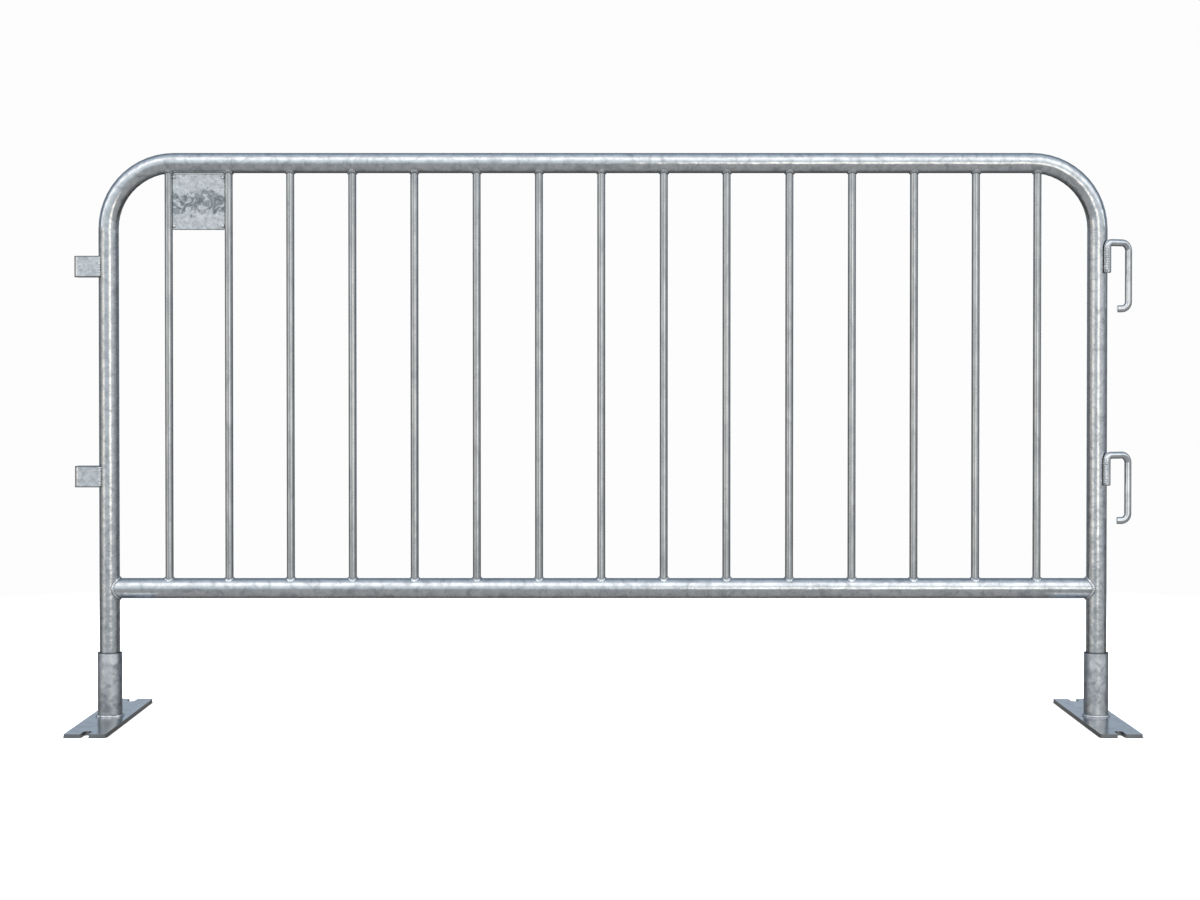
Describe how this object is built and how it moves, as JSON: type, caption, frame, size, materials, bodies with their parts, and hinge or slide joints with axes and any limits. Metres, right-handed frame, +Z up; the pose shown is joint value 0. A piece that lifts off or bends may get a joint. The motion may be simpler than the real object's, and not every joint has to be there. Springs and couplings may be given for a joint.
{
  "type": "crowd control barrier",
  "caption": "Interlocking steel pedestrian barrier: bent tube frame with upright bars, strap loops and hooks at its ends, standing on loose swivelling flat feet.",
  "frame": {"origin": "on the ground, midway between the two feet, at the centre of the barrier's footprint", "axes": "+X along the barrier from the strap loops to the hooks, +Y through it, front face at -Y, +Z up"},
  "size_m": [2.0958, 0.46, 1.124],
  "materials": {
    "galvanised_tube": "satin",
    "galvanised_flat_bar": "satin",
    "galvanised_rod": "satin",
    "galvanised_base_plate": "satin",
    "galvanised_weld": "rough"
  },
  "bodies": {
    "frame": {"frame_tube": "galvanised_tube", "bottom_rail": "galvanised_tube", "bar_01": "galvanised_tube", "bar_02": "galvanised_tube", "bar_03": "galvanised_tube", "bar_04": "galvanised_tube", "bar_05": "galvanised_tube", "bar_06": "galvanised_tube", "bar_07": "galvanised_tube", "bar_08": "galvanised_tube", "bar_09": "galvanised_tube", "bar_10": "galvanised_tube", "bar_11": "galvanised_tube", "bar_12": "galvanised_tube", "bar_13": "galvanised_tube", "bar_14": "galvanised_tube", "bar_15": "galvanised_tube", "blank_plate": "galvanised_flat_bar", "upper_strap_loop": "galvanised_flat_bar", "lower_strap_loop": "galvanised_flat_bar", "upper_hook": "galvanised_rod", "lower_hook": "galvanised_rod", "left_rail_weld": "galvanised_weld", "right_rail_weld": "galvanised_weld", "bar_top_welds": "galvanised_weld", "bar_bottom_welds": "galvanised_weld", "plate_tack_welds": "galvanised_weld", "upper_strap_welds": "galvanised_weld", "lower_strap_welds": "galvanised_weld", "upper_hook_welds": "galvanised_weld", "lower_hook_welds": "galvanised_weld"},
    "left_foot": {"left_foot_plate": "galvanised_base_plate", "left_sleeve": "galvanised_tube", "left_foot_weld": "galvanised_weld"},
    "right_foot": {"right_foot_plate": "galvanised_base_plate", "right_sleeve": "galvanised_tube", "right_foot_weld": "galvanised_weld"}
  },
  "joints": [
    {"name": "left_foot_swivel", "type": "hinge", "parent": "frame", "child": "left_foot", "pos_m": [-0.98, 0, 0.007], "axis": [0, 0, 1], "continuous": true},
    {"name": "right_foot_swivel", "type": "hinge", "parent": "frame", "child": "right_foot", "pos_m": [0.98, 0, 0.007], "axis": [0, 0, 1], "continuous": true}
  ]
}
